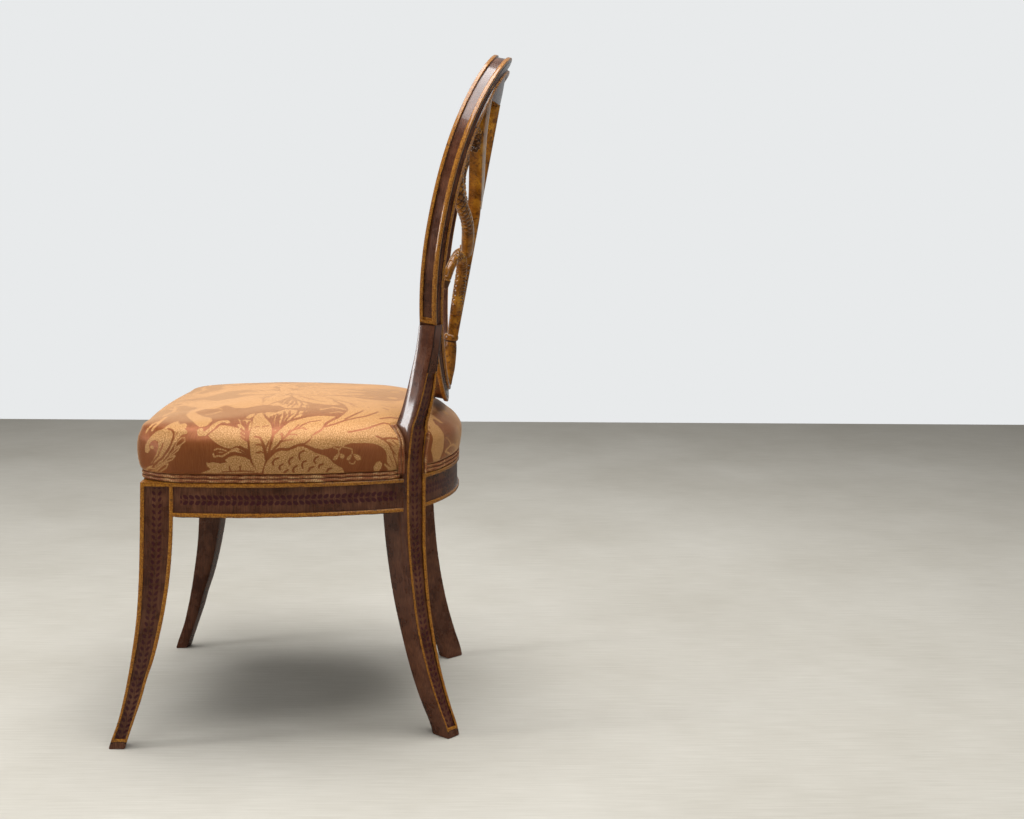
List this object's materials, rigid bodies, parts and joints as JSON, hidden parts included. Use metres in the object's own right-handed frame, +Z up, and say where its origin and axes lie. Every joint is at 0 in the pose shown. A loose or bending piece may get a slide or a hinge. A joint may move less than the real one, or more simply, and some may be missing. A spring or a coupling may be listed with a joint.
{
  "type": "dining chair",
  "caption": "Dining chair with sabre legs, a bowed seat frame, a tight upholstered seat and an oval back that holds a carved lyre splat.",
  "frame": {"origin": "on the floor under the middle of the chair's bounding box", "axes": "+X across the seat, -Y towards the front edge of the seat, +Z up"},
  "size_m": [0.5054, 0.5758, 1.0003],
  "materials": {
    "dark_wood": "dark mahogany brown lacquer, rubbed, with ochre edge lines",
    "amber_wood": "amber lacquered carving with brown speckle",
    "bare_wood": "unfinished hardwood",
    "damask": "copper and gold silk damask",
    "welt_cord": "fabric covered double cord",
    "cambric": "thin black dust cloth",
    "steel": "plain zinc plated"
  },
  "bodies": {
    "root": {"front_leg_right": "dark_wood", "front_leg_left": "dark_wood", "rear_leg_right": "dark_wood", "rear_leg_left": "dark_wood", "side_rail_right": "dark_wood", "side_rail_left": "dark_wood", "front_rail": "dark_wood", "back_rail": "dark_wood", "ring_crest": "dark_wood", "ring_foot": "dark_wood", "ring_side_right": "dark_wood", "ring_side_left": "dark_wood", "crest_dowel_right": "bare_wood", "crest_dowel_left": "bare_wood", "foot_dowel_right": "bare_wood", "foot_dowel_left": "bare_wood", "stile_dowel_right": "bare_wood", "stile_dowel_left": "bare_wood", "lyre_foot": "amber_wood", "lyre_stem": "amber_wood", "lyre_arm_right": "amber_wood", "lyre_arm_left": "amber_wood", "lyre_yoke": "dark_wood", "lyre_bar": "amber_wood", "swan_neck_right": "amber_wood", "swan_neck_left": "amber_wood", "serpent_right": "amber_wood", "serpent_left": "amber_wood", "stem_dowel": "bare_wood", "bar_dowel": "bare_wood", "arm_dowel_right": "bare_wood", "arm_dowel_left": "bare_wood", "yoke_dowel_right": "bare_wood", "yoke_dowel_left": "bare_wood", "neck_dowel_right": "bare_wood", "neck_dowel_left": "bare_wood", "serpent_dowel_right": "bare_wood", "serpent_dowel_left": "bare_wood", "front_block_right": "bare_wood", "front_block_left": "bare_wood", "front_screw_lower_right": "steel", "front_screw_lower_left": "steel", "front_screw_upper_right": "steel", "front_screw_upper_left": "steel", "rear_block_right": "bare_wood", "rear_block_left": "bare_wood", "rear_screw_lower_right": "steel", "rear_screw_lower_left": "steel", "rear_screw_upper_right": "steel", "rear_screw_upper_left": "steel", "seat_deck": "bare_wood", "seat_cushion": "damask", "notch_welt_side_right": "welt_cord", "notch_welt_side_left": "welt_cord", "notch_welt_rear_right": "welt_cord", "notch_welt_rear_left": "welt_cord", "welt_front": "welt_cord", "welt_back": "welt_cord", "dust_cover": "cambric"}
  },
  "joints": []
}
